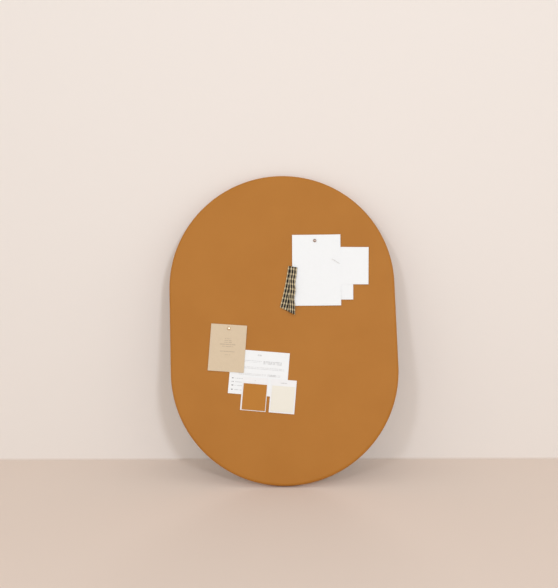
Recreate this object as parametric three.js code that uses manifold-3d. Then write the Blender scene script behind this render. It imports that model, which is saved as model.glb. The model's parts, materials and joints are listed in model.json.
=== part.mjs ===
// Oval padded pinboard with the papers, samples and cloth pinned to it.
// Millimetres. X runs to the right, Z up, and the front looks along -Y. The origin lies on the
// wall, midway between the upper ends of the two keyhole slots that the board hangs by.
// A depth is a distance in front of the wall, so it is measured along -Y.

import * as THREE from 'three';
import { mergeVertices } from 'three/addons/utils/BufferGeometryUtils.js';
import Module from 'manifold-3d';

const wasm = await Module();
wasm.setup();

// Outline of the board: a half circle above and below two straight sides
const boardWidth = 700;
const boardHeight = 960;

// Layers of the board, from the wall to the front
const padThickness = 4;
const liningThickness = 1;
const backingThickness = 9;
const coreThickness = 10;
const waddingThickness = 4;
const coverThickness = 1;
const glueLine = 0.1;

// Edges of the board and the hem that the cover is turned under to
const coreEdgeRadius = 5;
const backingEase = 1.5;
const hemWidth = 38;
const hemClearance = 0.5;

// Felt lining over the back
const liningInset = 24;
const liningStep = 6;
const liningWindowMargin = 2;

// Pads that keep the board off the wall, on the flat middle of the lining. The inset is from the
// foot of the lining's step to the pad's edge, and the angle is about the half circles' centres.
const padRadius = 12;
const padEase = 1;
const padInset = 31.5;
const padAngle = Math.PI / 4;

// Keyhole hanger plates, let into the back. They lie this far to each side of the middle, and this
// far above the centre of the upper half circle.
const hangerSpread = 190;
const hangerAboveCentre = 120;
const plateThickness = 1.5;
const plateWidth = 18;
const plateCornerRadius = 3;
const plateEndMargin = 6;
const entryRadius = 5;
const slotRadius = 2.5;
const slotTravel = 11;
const pocketMargin = 1;
const pocketDepth = 5;
const rebateGap = 0.3;

// Pan-head screws of the hangers
const screwReach = 7;
const screwShankRadius = 1.75;
const screwHoleRadius = 2.1;
const screwHeadRadius = 3.5;
const screwHeadHeight = 2;
const screwLength = 8;
const screwPoint = 2;
const threadGap = 0.1;

// Papers and cards
const paperThickness = 0.25;
const cardThickness = 0.5;
const restGap = 0.3;

const frontSheetWidth = 150;
const frontSheetHeight = 222;
const sideSheetWidth = 148;
const sideSheetHeight = 116.5;
const lowSheetWidth = 105;
const lowSheetHeight = 148;
const printedSheetWidth = 179.5;
const printedSheetHeight = 136;
const kraftCardWidth = 111;
const kraftCardHeight = 145;
const sampleCardWidth = 78;
const sampleCardHeight = 102;
const sampleCardGap = 9.6;
const sampleThickness = 1;
const sampleHeader = 20;
const sampleMargin = 4.5;

// Round-headed tacks
const tackHeadRadius = 5.2;
const tackHeadHeight = 3.4;
const tackRimHeight = 0.7;
const tackRimWidth = 0.8;
const tackHollow = 1.7;
const tackBossRadius = 1.5;
const tackNeedleRadius = 0.55;
const tackNeedleLength = 12;
const tackNeedlePoint = 3;
const tackFit = 0.05;

// Slim steel pins
const pinRadius = 0.4;
const pinPoint = 2.5;
const pinHeadRadius = 1;
const pinHeadHeight = 1.3;
const pinHeadShoulderShare = 0.15;
const shortPinCoreShare = 0.915;
const longPinLength = 52;
const longPinProud = 26;
const longPinTilt = THREE.MathUtils.degToRad(20);
const longPinFall = THREE.MathUtils.degToRad(31.5);
const pinTipGap = 0.5;
const drillOverrun = 12;

// Gingham strip: flat cloth laid in a Z pleat, closed at the pin and open at the foot
const clothThickness = 0.6;
const pleatRise = 1.7;
const stripTopWidth = 25;
const stripLeftLength = 131;
const stripRightLength = 147;
const stripTopAbovePin = 5;
const stripFootLeft = 18.2;
const stripFootRight = 32.1;
const stripFootFold = 9;
const stripFootTuck = 20;
const stripWave = 0.9;
const underLayerShares = [0, 0.2, 0.4, 0.6, 0.8];
const topLayerShares = [0.25, 0.5, 0.75, 1];
const tuckTurns = [-90, -30, 30, 90].map(THREE.MathUtils.degToRad);
const foldTurns = [-90, -150, -210, -270].map(THREE.MathUtils.degToRad);

// Places of the papers, as shares of the size that each follows
const frontSheetPlaceShare = [0.1579, 0.182];
const sideSheetPlaceShare = [0.5791, 0.0597];
const lowSheetPlaceShare = [0.4036, -0.0837];
const printedSheetPlaceShare = [-0.1103, -0.1436];
const kraftCardPlaceShare = [-0.5738, 0.5074];
const tanCardPlaceShare = [-0.0499, -0.4758];

// Turns of the papers about the board's normal, anticlockwise as seen from the front
const frontSheetTurn = THREE.MathUtils.degToRad(-1.6);
const sideSheetTurn = THREE.MathUtils.degToRad(-2.8);
const lowSheetTurn = THREE.MathUtils.degToRad(-2.2);
const printedSheetTurn = THREE.MathUtils.degToRad(-6.5);
const kraftCardTurn = THREE.MathUtils.degToRad(-5.7);
const sampleCardTurn = THREE.MathUtils.degToRad(-6.5);
const stripTurn = THREE.MathUtils.degToRad(-12);

// Where the tacks and pins go in, from the edges of the sheet that they hold
const sheetTackDrop = 18.5;
const sheetTackShift = -4.7;
const kraftTackDrop = 11.8;
const samplePinDrop = 10;
const stripPinInset = 2.2;
const stripPinHeightShare = 0.0251;
const longPinInset = 4.6;
const longPinHeightShare = 0.0903;

// Facets
const arcSteps = 28;
const edgeSteps = 5;
const smallArcSteps = 3;
const outlineSteps = 10;
const roundSides = 16;
const needleSides = 10;
const stripRows = 11;

// Derived sizes of the board
const halfWidth = boardWidth / 2;
const halfSpine = (boardHeight - boardWidth) / 2;
const liningDepth = padThickness + glueLine;
const backingDepth = liningDepth + liningThickness + glueLine;
const hemDepth = backingDepth - glueLine - coverThickness;
const liningRimDepth = hemDepth - glueLine - liningThickness;
const coreDepth = backingDepth + backingThickness + glueLine;
const waddingDepth = coreDepth + coreThickness + glueLine;
const frontDepth = waddingDepth + waddingThickness + glueLine + coverThickness;

const waddingEdgeRadius = coreEdgeRadius + glueLine + waddingThickness;
const frontEdgeRadius = waddingEdgeRadius + glueLine + coverThickness;
const edgeCentreRadius = halfWidth - frontEdgeRadius;
const edgeCentreDepth = frontDepth - frontEdgeRadius;

const backingRadius = halfWidth - coverThickness - glueLine;
const backEdgeRadius = backingEase + glueLine + coverThickness;
const hemInnerRadius = halfWidth - hemWidth;
const liningRadius = halfWidth - liningInset;
const liningStepTop = hemInnerRadius - hemClearance;
const liningStepFoot = liningStepTop - liningStep;
const padReach = liningStepFoot - padInset - padRadius;
const hangerRise = halfSpine + hangerAboveCentre;

// Depths at which the papers lie
const firstSheetDepth = frontDepth + restGap;
const secondSheetDepth = firstSheetDepth + paperThickness + restGap;
const thirdSheetDepth = secondSheetDepth + paperThickness + restGap;
const thirdSheetFace = thirdSheetDepth + paperThickness;
const stripDepth = thirdSheetFace + restGap;
const sampleCardDepth = secondSheetDepth;
const sampleCardFace = sampleCardDepth + cardThickness;
const sampleDepth = sampleCardFace + glueLine;
const kraftCardDepth = sampleCardFace + restGap;
const kraftCardFace = kraftCardDepth + cardThickness;

// The short pins go this far into the board, and the sample cards' pins go deepest
const shortPinTipDepth = coreDepth + (1 - shortPinCoreShare) * coreThickness;
const shortPinLength = sampleCardFace + restGap - shortPinTipDepth;

// Finishes
function finish(color, roughness, metalness = 0) {
  return new THREE.MeshStandardMaterial({ color, roughness, metalness });
}

const tanLeather = () => finish(0xb47a3f, 0.62);
const creamLeather = () => finish(0xebe4d6, 0.6);
const whitePaper = () => finish(0xf5f1ee, 0.85);
const kraftPaper = () => finish(0xe0c2a3, 0.85);
const steel = () => finish(0xb9b7b2, 0.35, 1);
const tackMetal = () => finish(0xc9b09a, 0.28, 1);

// A solid that can be cut and joined, from a closed geometry
function toSolid(geometry) {
  const bare = geometry.clone();
  bare.deleteAttribute('normal');
  bare.deleteAttribute('uv');
  const merged = mergeVertices(bare);
  return new wasm.Manifold(new wasm.Mesh({
    numProp: 3,
    vertProperties: new Float32Array(merged.attributes.position.array),
    triVerts: new Uint32Array(merged.index.array),
  }));
}

function toGeometry(solid) {
  const { vertProperties, triVerts } = solid.getMesh();
  const geometry = new THREE.BufferGeometry();
  geometry.setAttribute('position', new THREE.BufferAttribute(vertProperties, 3));
  geometry.setIndex(new THREE.BufferAttribute(triVerts, 1));
  geometry.computeVertexNormals();
  return geometry;
}

// Merge shared points and drop triangles that have shrunk to a line
function tidy(geometry) {
  const merged = mergeVertices(geometry);
  const kept = [];
  const { array } = merged.index;
  for (let i = 0; i < array.length; i += 3) {
    const [a, b, c] = array.slice(i, i + 3);
    if (a !== b && b !== c && c !== a) kept.push(a, b, c);
  }
  merged.setIndex(kept);
  merged.computeVertexNormals();
  return merged;
}

// Points of an arc in a profile: angle 0 points outwards, a quarter turn points to the front
function arc(centreRadius, centreDepth, radius, from, to, steps) {
  const points = [];
  for (let step = 0; step <= steps; step++) {
    const angle = from + (to - from) * step / steps;
    points.push([centreRadius + radius * Math.cos(angle), centreDepth + radius * Math.sin(angle)]);
  }
  return points;
}

// A profile of [radius, depth] points carried round the board's outline. It starts and ends on
// the axis, which is stretched into the upright line between the two half circles' centres.
function sweepRound(profile) {
  const stations = [];
  for (const end of [1, -1]) {
    for (let step = 0; step <= arcSteps; step++) {
      const angle = Math.PI * (step / arcSteps + (end < 0 ? 1 : 0));
      stations.push({ x: Math.cos(angle), z: Math.sin(angle), shift: end * halfSpine });
    }
  }
  const positions = [];
  for (const { x, z, shift } of stations) {
    for (const [radius, depth] of profile) positions.push(radius * x, -depth, radius * z + shift);
  }
  const faces = [];
  const rows = profile.length;
  stations.forEach((_, i) => {
    const here = i * rows;
    const next = ((i + 1) % stations.length) * rows;
    for (let j = 0; j + 1 < rows; j++) {
      faces.push(here + j, here + j + 1, next + j + 1, here + j, next + j + 1, next + j);
    }
  });
  const geometry = new THREE.BufferGeometry();
  geometry.setAttribute('position', new THREE.Float32BufferAttribute(positions, 3));
  geometry.setIndex(faces);
  return tidy(geometry);
}

// A flat shape in X and Z, given a thickness towards the front
function slab(shape, depth, thickness) {
  const geometry = new THREE.ExtrudeGeometry(shape, {
    depth: thickness, bevelEnabled: false, curveSegments: outlineSteps,
  });
  geometry.rotateX(Math.PI / 2);
  return geometry.translate(0, -depth, 0);
}

// A turned body about the Y axis, from [radius, height] points that start at its front end.
// The height is measured towards the front.
function turned(points, sides) {
  const profile = points.map(([radius, height]) => new THREE.Vector2(radius, -height));
  return tidy(bareGeometry(new THREE.LatheGeometry(profile, sides)));
}

function bareGeometry(geometry) {
  geometry.deleteAttribute('normal');
  geometry.deleteAttribute('uv');
  return geometry;
}

function roundedRectangle(width, top, bottom, radius) {
  const side = width / 2;
  const shape = new THREE.Shape();
  shape.absarc(side - radius, top - radius, radius, 0, Math.PI / 2);
  shape.absarc(radius - side, top - radius, radius, Math.PI / 2, Math.PI);
  shape.absarc(radius - side, bottom + radius, radius, Math.PI, Math.PI * 1.5);
  shape.absarc(side - radius, bottom + radius, radius, Math.PI * 1.5, Math.PI * 2);
  return shape;
}

function rectangle(width, height) {
  const shape = new THREE.Shape();
  shape.moveTo(-width / 2, -height / 2);
  shape.lineTo(width / 2, -height / 2);
  shape.lineTo(width / 2, height / 2);
  shape.lineTo(-width / 2, height / 2);
  shape.closePath();
  return shape;
}

function piece(name, geometry, material) {
  const mesh = new THREE.Mesh(geometry, material);
  mesh.name = name;
  return mesh;
}

// Padded board

function coverGeometry() {
  const quarter = Math.PI / 2;
  const backCentreRadius = halfWidth - backEdgeRadius;
  const backCentreDepth = hemDepth + backEdgeRadius;
  return sweepRound([
    [0, frontDepth],
    ...arc(edgeCentreRadius, edgeCentreDepth, frontEdgeRadius, quarter, 0, edgeSteps),
    ...arc(backCentreRadius, backCentreDepth, backEdgeRadius, 0, -quarter, smallArcSteps),
    [hemInnerRadius, hemDepth],
    [hemInnerRadius, hemDepth + coverThickness],
    ...arc(backCentreRadius, backCentreDepth, backEdgeRadius - coverThickness, -quarter, 0, smallArcSteps),
    ...arc(edgeCentreRadius, edgeCentreDepth, frontEdgeRadius - coverThickness, 0, quarter, edgeSteps),
    [0, frontDepth - coverThickness],
  ]);
}

function waddingGeometry() {
  const quarter = Math.PI / 2;
  const innerEdgeRadius = waddingEdgeRadius - waddingThickness;
  return sweepRound([
    [0, waddingDepth + waddingThickness],
    ...arc(edgeCentreRadius, edgeCentreDepth, waddingEdgeRadius, quarter, 0, edgeSteps),
    [edgeCentreRadius + waddingEdgeRadius, coreDepth],
    [edgeCentreRadius + innerEdgeRadius, coreDepth],
    ...arc(edgeCentreRadius, edgeCentreDepth, innerEdgeRadius, 0, quarter, edgeSteps),
    [0, waddingDepth],
  ]);
}

function coreGeometry() {
  return sweepRound([
    [0, coreDepth + coreThickness],
    ...arc(edgeCentreRadius, edgeCentreDepth, coreEdgeRadius, Math.PI / 2, 0, smallArcSteps),
    [edgeCentreRadius + coreEdgeRadius, coreDepth],
    [0, coreDepth],
  ]);
}

function backingGeometry() {
  return sweepRound([
    [0, backingDepth + backingThickness],
    [backingRadius, backingDepth + backingThickness],
    [backingRadius, backingDepth + backingEase],
    [backingRadius - backingEase, backingDepth],
    [0, backingDepth],
  ]);
}

// The lining lies flat on the backing board and steps up over the inner edge of the hem
function liningGeometry() {
  return sweepRound([
    [0, liningDepth + liningThickness],
    [liningStepFoot, liningDepth + liningThickness],
    [liningStepTop, liningRimDepth + liningThickness],
    [liningRadius, liningRimDepth + liningThickness],
    [liningRadius, liningRimDepth],
    [liningStepTop, liningRimDepth],
    [liningStepFoot, liningDepth],
    [0, liningDepth],
  ]);
}

// Hangers

const plateTop = slotRadius + screwReach + plateEndMargin;
const plateBottom = -(slotTravel + entryRadius + screwReach + plateEndMargin);
const screwHeights = [slotRadius + screwReach, -(slotTravel + entryRadius + screwReach)];

// Keyhole with its round entry below and the slot that the wall screw slides up
function keyholePath() {
  const meet = Math.asin(slotRadius / entryRadius);
  const path = new THREE.Path();
  path.absarc(0, 0, slotRadius, 0, Math.PI);
  path.absarc(0, -slotTravel, entryRadius, Math.PI / 2 + meet, Math.PI * 2.5 - meet);
  path.closePath();
  return path;
}

function plateGeometry() {
  const shape = roundedRectangle(plateWidth, plateTop, plateBottom, plateCornerRadius);
  shape.holes.push(keyholePath());
  for (const height of screwHeights) {
    const hole = new THREE.Path();
    hole.absarc(0, height, screwHoleRadius, 0, Math.PI * 2);
    shape.holes.push(hole);
  }
  return slab(shape, backingDepth, plateThickness);
}

// What is cut from the backing board for one hanger: rebate, pocket behind the keyhole, screw holes
function hangerRecess() {
  const rebateDepth = plateThickness + glueLine;
  const outline = roundedRectangle(
    plateWidth + 2 * rebateGap, plateTop + rebateGap, plateBottom - rebateGap, plateCornerRadius,
  );
  let recess = toSolid(slab(outline, backingDepth - drillOverrun, drillOverrun + rebateDepth));

  const pocketRadius = entryRadius + pocketMargin;
  const pocket = new THREE.Shape();
  pocket.absarc(0, 0, pocketRadius, 0, Math.PI);
  pocket.absarc(0, -slotTravel, pocketRadius, Math.PI, Math.PI * 2);
  recess = recess.add(toSolid(slab(pocket, backingDepth, rebateDepth + pocketDepth)));

  for (const height of screwHeights) {
    const hole = new THREE.Shape();
    hole.absarc(0, height, screwShankRadius + threadGap, 0, Math.PI * 2);
    recess = recess.add(toSolid(slab(hole, backingDepth, screwLength)));
  }
  return toGeometry(recess);
}

function screwGeometry() {
  const shankInWood = screwLength - threadGap - glueLine;
  return turned([
    [0, shankInWood],
    [screwShankRadius, shankInWood - screwPoint],
    [screwShankRadius, -glueLine],
    [screwHeadRadius, -glueLine],
    [screwHeadRadius, -glueLine - screwHeadHeight / 2],
    [screwHeadRadius / 2, -glueLine - screwHeadHeight],
    [0, -glueLine - screwHeadHeight],
  ], needleSides);
}

function liningWindow() {
  const outline = roundedRectangle(
    plateWidth + 2 * liningWindowMargin,
    plateTop + liningWindowMargin,
    plateBottom - liningWindowMargin,
    plateCornerRadius,
  );
  return slab(outline, liningDepth - drillOverrun, liningThickness + 2 * drillOverrun);
}

// One copy of a geometry at each hanger
function atHangers(geometry) {
  return [-1, 1].map((side) => geometry.clone().translate(side * hangerSpread, 0, hangerRise));
}

// Wall pads

function padGeometry() {
  return turned([
    [0, padThickness],
    [padRadius, padThickness],
    [padRadius, padEase],
    [padRadius - padEase, 0],
    [0, 0],
  ], roundSides);
}

// Papers

// The place of a sheet's middle: shares of the sheet or board that it is laid out by
function placeOn(base, share) {
  return fromSheet(base, share[0] * base.width, share[1] * base.height);
}

// Board coordinates of a point of a sheet, across and up from its middle
function fromSheet(sheet, across, up) {
  const { x, z, turn } = sheet;
  return {
    x: x + across * Math.cos(turn) - up * Math.sin(turn),
    z: z + across * Math.sin(turn) + up * Math.cos(turn),
  };
}

const board = { x: 0, z: 0, turn: 0, width: boardWidth, height: boardHeight };

function sheetOn(base, share, turn, width, height) {
  return { ...placeOn(base, share), turn, width, height };
}

const frontSheet = sheetOn(board, frontSheetPlaceShare, frontSheetTurn, frontSheetWidth, frontSheetHeight);
const sideSheet = sheetOn(frontSheet, sideSheetPlaceShare, sideSheetTurn, sideSheetWidth, sideSheetHeight);
const lowSheet = sheetOn(frontSheet, lowSheetPlaceShare, lowSheetTurn, lowSheetWidth, lowSheetHeight);
const printedSheet = sheetOn(
  board, printedSheetPlaceShare, printedSheetTurn, printedSheetWidth, printedSheetHeight,
);
const kraftCard = sheetOn(printedSheet, kraftCardPlaceShare, kraftCardTurn, kraftCardWidth, kraftCardHeight);
const tanCard = sheetOn(printedSheet, tanCardPlaceShare, sampleCardTurn, sampleCardWidth, sampleCardHeight);
const creamCard = { ...tanCard, ...fromSheet(tanCard, sampleCardWidth + sampleCardGap, 0) };

function sheetPiece(name, sheet, depth, thickness, material) {
  return layAs(sheet, piece(name, slab(rectangle(sheet.width, sheet.height), 0, thickness), material), depth);
}

// A sample of cover cloth glued to its card, below the card's header
function samplePiece(name, card, material) {
  const width = card.width - 2 * sampleMargin;
  const height = card.height - sampleHeader - sampleMargin;
  const geometry = slab(rectangle(width, height), 0, sampleThickness);
  geometry.translate(0, 0, (sampleMargin - sampleHeader) / 2);
  return layAs(card, piece(name, geometry, material), sampleDepth);
}

function layAs(sheet, mesh, depth) {
  mesh.position.set(sheet.x, -depth, sheet.z);
  mesh.rotation.y = -sheet.turn;
  return mesh;
}

// Gingham strip

// Middle line of the cloth across the strip, as [across, rise] points, at a share of its length.
// It runs right under the pleat, back left between the layers, and right again on top.
function pleatLine(share) {
  const mix = THREE.MathUtils.lerp;
  const half = stripTopWidth / 2;
  const bend = pleatRise / 2;
  const leftEdge = mix(-half, -stripFootLeft, share);
  const tuck = mix(half, stripFootTuck, share) - bend;
  const fold = mix(-half, stripFootFold, share) + bend;
  const rightEdge = mix(half, stripFootRight, share);
  const wave = stripWave * share;
  const points = [];
  for (const part of underLayerShares) {
    points.push([mix(leftEdge, tuck, part), wave * (1 - Math.cos(Math.PI * 2 * part)) / 2]);
  }
  for (const angle of tuckTurns) {
    points.push([tuck + bend * Math.cos(angle), bend + bend * Math.sin(angle)]);
  }
  for (const angle of foldTurns) {
    points.push([fold + bend * Math.cos(angle), pleatRise + bend + bend * Math.sin(angle)]);
  }
  for (const part of topLayerShares) {
    const fall = wave * (1 - Math.cos(Math.PI * part)) / 2;
    points.push([mix(fold, rightEdge, part), 2 * pleatRise + wave * Math.sin(Math.PI * part) - fall]);
  }
  return points;
}

// How far a point lies across the strip, from 0 at its left edge to 1 at its right edge
function spreadOf(line, across) {
  const left = line[0][0];
  const right = line[line.length - 1][0];
  return (across - left) / (right - left);
}

// Unit normals of a middle line, pointing to its left as it is walked
function lineNormals(points) {
  return points.map((_, i) => {
    const [x0, y0] = points[Math.max(i - 1, 0)];
    const [x1, y1] = points[Math.min(i + 1, points.length - 1)];
    const length = Math.hypot(x1 - x0, y1 - y0);
    return [(y0 - y1) / length, (x1 - x0) / length];
  });
}

// The cloth as one closed body: two faces a thickness apart, rows down the strip, columns across
function stripGeometry() {
  const rows = stripRows;
  const columns = pleatLine(0).length;
  const positions = [];
  for (const side of [-1, 1]) {
    for (let row = 0; row < rows; row++) {
      const share = row / (rows - 1);
      const line = pleatLine(share);
      const normals = lineNormals(line);
      line.forEach(([across, rise], column) => {
        const [nx, ny] = normals[column];
        const x = across + side * nx * clothThickness / 2;
        const out = rise + clothThickness / 2 + side * ny * clothThickness / 2;
        const length = THREE.MathUtils.lerp(stripLeftLength, stripRightLength, spreadOf(line, across));
        positions.push(x, -out, stripTopAbovePin - length * share);
      });
    }
  }
  const at = (side, row, column) => (side * rows + row) * columns + column;
  const faces = [];
  const quad = (a, b, c, d) => faces.push(a, b, c, a, c, d);
  for (let row = 0; row + 1 < rows; row++) {
    for (let column = 0; column + 1 < columns; column++) {
      quad(at(0, row, column), at(0, row, column + 1), at(0, row + 1, column + 1), at(0, row + 1, column));
      quad(at(1, row, column), at(1, row + 1, column), at(1, row + 1, column + 1), at(1, row, column + 1));
    }
    quad(at(0, row, 0), at(0, row + 1, 0), at(1, row + 1, 0), at(1, row, 0));
    const last = columns - 1;
    quad(at(0, row, last), at(1, row, last), at(1, row + 1, last), at(0, row + 1, last));
  }
  for (let column = 0; column + 1 < columns; column++) {
    const foot = rows - 1;
    quad(at(0, 0, column), at(1, 0, column), at(1, 0, column + 1), at(0, 0, column + 1));
    quad(at(0, foot, column), at(0, foot, column + 1), at(1, foot, column + 1), at(1, foot, column));
  }
  const geometry = new THREE.BufferGeometry();
  geometry.setAttribute('position', new THREE.Float32BufferAttribute(positions, 3));
  geometry.setIndex(faces);
  geometry.computeVertexNormals();
  return geometry;
}

// Tacks and pins, each with its head's underside at the origin and its point along +Y

// Pressed dome with a hollow underside and a boss that grips the needle
function tackHeadGeometry() {
  const dome = [];
  for (let step = 0; step <= edgeSteps; step++) {
    const angle = (Math.PI / 2) * (1 - step / edgeSteps);
    const rise = (tackHeadHeight - tackRimHeight) * Math.sin(angle);
    dome.push([tackHeadRadius * Math.cos(angle), tackRimHeight + rise]);
  }
  const boreRadius = tackNeedleRadius + tackFit;
  return turned([
    ...dome,
    [tackHeadRadius, 0],
    [tackHeadRadius - tackRimWidth, 0],
    [tackBossRadius, tackHollow],
    [tackBossRadius, 0],
    [boreRadius, 0],
    [boreRadius, tackHollow],
    [0, tackHollow],
  ], roundSides);
}

function tackNeedleGeometry() {
  return turned([
    [0, tackHollow - tackFit],
    [tackNeedleRadius, tackHollow - tackFit],
    [tackNeedleRadius, tackNeedlePoint - tackNeedleLength],
    [0, -tackNeedleLength],
  ], needleSides);
}

function pinGeometry(length) {
  return turned([
    [0, pinHeadHeight],
    [pinHeadRadius * Math.SQRT1_2, pinHeadHeight * (1 - pinHeadShoulderShare)],
    [pinHeadRadius, pinHeadHeight / 2],
    [pinHeadRadius * Math.SQRT1_2, pinHeadHeight * pinHeadShoulderShare],
    [pinRadius, 0],
    [pinRadius, pinPoint - length],
    [0, -length],
  ], needleSides);
}

// A place for a needle: the point where it goes in, the way its point looks and its shape
function needlePlace(point, faceDepth, proud, length, radius, way = new THREE.Vector3(0, 1, 0)) {
  const entry = new THREE.Vector3(point.x, -faceDepth, point.z);
  return { head: entry.addScaledVector(way, -proud), way, length, radius };
}

const longPinWay = new THREE.Vector3(
  Math.cos(longPinTilt) * Math.cos(longPinFall),
  Math.sin(longPinTilt),
  -Math.cos(longPinTilt) * Math.sin(longPinFall),
);

const sheetTack = needlePlace(
  fromSheet(frontSheet, sheetTackShift, frontSheetHeight / 2 - sheetTackDrop),
  thirdSheetFace, restGap, tackNeedleLength, tackNeedleRadius,
);
const kraftTack = needlePlace(
  fromSheet(kraftCard, 0, kraftCardHeight / 2 - kraftTackDrop),
  kraftCardFace, restGap, tackNeedleLength, tackNeedleRadius,
);
const longPin = needlePlace(
  fromSheet(frontSheet, frontSheetWidth / 2 - longPinInset, longPinHeightShare * frontSheetHeight),
  thirdSheetFace, longPinProud, longPinLength, pinRadius, longPinWay,
);
const stripPin = needlePlace(
  fromSheet(frontSheet, stripPinInset - frontSheetWidth / 2, stripPinHeightShare * frontSheetHeight),
  stripDepth + 2 * pleatRise + clothThickness, restGap, shortPinLength, pinRadius,
);
const tanPin = needlePlace(
  fromSheet(tanCard, 0, sampleCardHeight / 2 - samplePinDrop),
  sampleCardFace, restGap, shortPinLength, pinRadius,
);
const creamPin = needlePlace(
  fromSheet(creamCard, 0, sampleCardHeight / 2 - samplePinDrop),
  sampleCardFace, restGap, shortPinLength, pinRadius,
);
const allNeedles = [sheetTack, kraftTack, longPin, stripPin, tanPin, creamPin];

function standAt(place, mesh) {
  mesh.position.copy(place.head);
  mesh.quaternion.setFromUnitVectors(new THREE.Vector3(0, 1, 0), place.way);
  return mesh;
}

// The hole that a needle leaves, from well in front of its head to just past its point
function needleBore({ head, way, length, radius }) {
  const reach = drillOverrun + length + pinTipGap;
  const bore = new THREE.CylinderGeometry(radius + restGap, radius + restGap, reach, needleSides);
  bore.translate(0, reach / 2 - drillOverrun, 0);
  bore.applyQuaternion(new THREE.Quaternion().setFromUnitVectors(new THREE.Vector3(0, 1, 0), way));
  return bore.translate(head.x, head.y, head.z);
}

// Cut the holes of some needles from a placed piece
function pierce(mesh, needles) {
  mesh.updateMatrix();
  const toPiece = mesh.matrix.clone().invert();
  let solid = toSolid(mesh.geometry);
  for (const needle of needles) {
    solid = solid.subtract(toSolid(needleBore(needle).applyMatrix4(toPiece)));
  }
  mesh.geometry = toGeometry(solid);
  return mesh;
}

// Cut other shapes from a piece that stands unturned in the board's own frame
function cut(geometry, cutters) {
  return toGeometry(cutters.reduce((solid, cutter) => solid.subtract(toSolid(cutter)), toSolid(geometry)));
}

// Assembly

function paddedBoard() {
  const cover = piece('front_cover', coverGeometry(), tanLeather());
  const wadding = piece('foam_wadding', waddingGeometry(), finish(0xefe9dc, 0.95));
  const core = piece('softboard_core', coreGeometry(), finish(0xb08d62, 0.95));
  const backing = cut(backingGeometry(), atHangers(hangerRecess()));
  const lining = cut(liningGeometry(), atHangers(liningWindow()));
  return [
    pierce(cover, allNeedles),
    pierce(wadding, allNeedles),
    pierce(core, allNeedles),
    piece('backing_board', backing, finish(0xa98760, 0.8)),
    piece('back_lining', lining, finish(0x3a3836, 0.95)),
  ];
}

function hangers() {
  const pieces = [];
  for (const [side, sign] of [['left', -1], ['right', 1]]) {
    const plate = piece(`${side}_hanger_plate`, plateGeometry(), steel());
    plate.position.set(sign * hangerSpread, 0, hangerRise);
    pieces.push(plate);
    screwHeights.forEach((height, i) => {
      const screw = piece(`${side}_hanger_screw_${i ? 'lower' : 'upper'}`, screwGeometry(), steel());
      screw.position.set(sign * hangerSpread, -backingDepth, hangerRise + height);
      pieces.push(screw);
    });
  }
  return pieces;
}

function wallPads() {
  const across = padReach * Math.cos(padAngle);
  const up = halfSpine + padReach * Math.sin(padAngle);
  const pads = [];
  for (const [row, rowSign] of [['top', 1], ['bottom', -1]]) {
    for (const [side, sideSign] of [['left', -1], ['right', 1]]) {
      const pad = piece(`wall_pad_${row}_${side}`, padGeometry(), finish(0x2b2b2b, 0.9));
      pad.position.set(sideSign * across, 0, rowSign * up);
      pads.push(pad);
    }
  }
  return pads;
}

function upperPapers() {
  const low = sheetPiece('white_sheet_low', lowSheet, firstSheetDepth, paperThickness, whitePaper());
  const side = sheetPiece('white_sheet_side', sideSheet, secondSheetDepth, paperThickness, whitePaper());
  const front = sheetPiece('white_sheet_front', frontSheet, thirdSheetDepth, paperThickness, whitePaper());
  const strip = piece('gingham_strip', stripGeometry(), finish(0x8b8473, 0.9));
  strip.position.set(stripPin.head.x, -stripDepth, stripPin.head.z);
  strip.rotation.y = -stripTurn;
  return [
    pierce(low, [longPin]),
    pierce(side, [longPin]),
    pierce(front, [sheetTack, longPin, stripPin]),
    pierce(strip, [stripPin]),
  ];
}

function lowerPapers() {
  const printed = sheetPiece('printed_sheet', printedSheet, firstSheetDepth, paperThickness, whitePaper());
  const tan = sheetPiece('tan_sample_card', tanCard, sampleCardDepth, cardThickness, whitePaper());
  const cream = sheetPiece('cream_sample_card', creamCard, sampleCardDepth, cardThickness, whitePaper());
  const kraft = sheetPiece('kraft_card', kraftCard, kraftCardDepth, cardThickness, kraftPaper());
  return [
    pierce(printed, [tanPin, creamPin]),
    pierce(tan, [tanPin]),
    pierce(cream, [creamPin]),
    pierce(kraft, [kraftTack]),
    samplePiece('tan_sample_square', tanCard, tanLeather()),
    samplePiece('cream_sample_square', creamCard, creamLeather()),
  ];
}

function tacksAndPins() {
  const pins = [
    ['slanted_pin', longPin],
    ['gingham_pin', stripPin],
    ['tan_sample_pin', tanPin],
    ['cream_sample_pin', creamPin],
  ];
  return [
    standAt(sheetTack, piece('sheet_tack_head', tackHeadGeometry(), tackMetal())),
    standAt(sheetTack, piece('sheet_tack_needle', tackNeedleGeometry(), steel())),
    standAt(kraftTack, piece('card_tack_head', tackHeadGeometry(), tackMetal())),
    standAt(kraftTack, piece('card_tack_needle', tackNeedleGeometry(), steel())),
    ...pins.map(([name, place]) => standAt(place, piece(name, pinGeometry(place.length), steel()))),
  ];
}

const pinboard = new THREE.Group();
pinboard.add(
  ...paddedBoard(), ...hangers(), ...wallPads(), ...upperPapers(), ...lowerPapers(), ...tacksAndPins(),
);
pinboard.position.z = -hangerRise;

export default pinboard;
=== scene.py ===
# %% [markdown]
# # A padded oval pinboard
# The board is a stiff panel with two half-round ends, softened with wadding and covered with tan
# leather-look cloth that is pulled over the edge and stapled behind. Papers, sample cards and a pleated
# strip of gingham are pinned to it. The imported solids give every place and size. This notebook lays the
# fine surfaces over them, gives each its real material, and lights it all in a plain pale studio.

import json
import math

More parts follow.
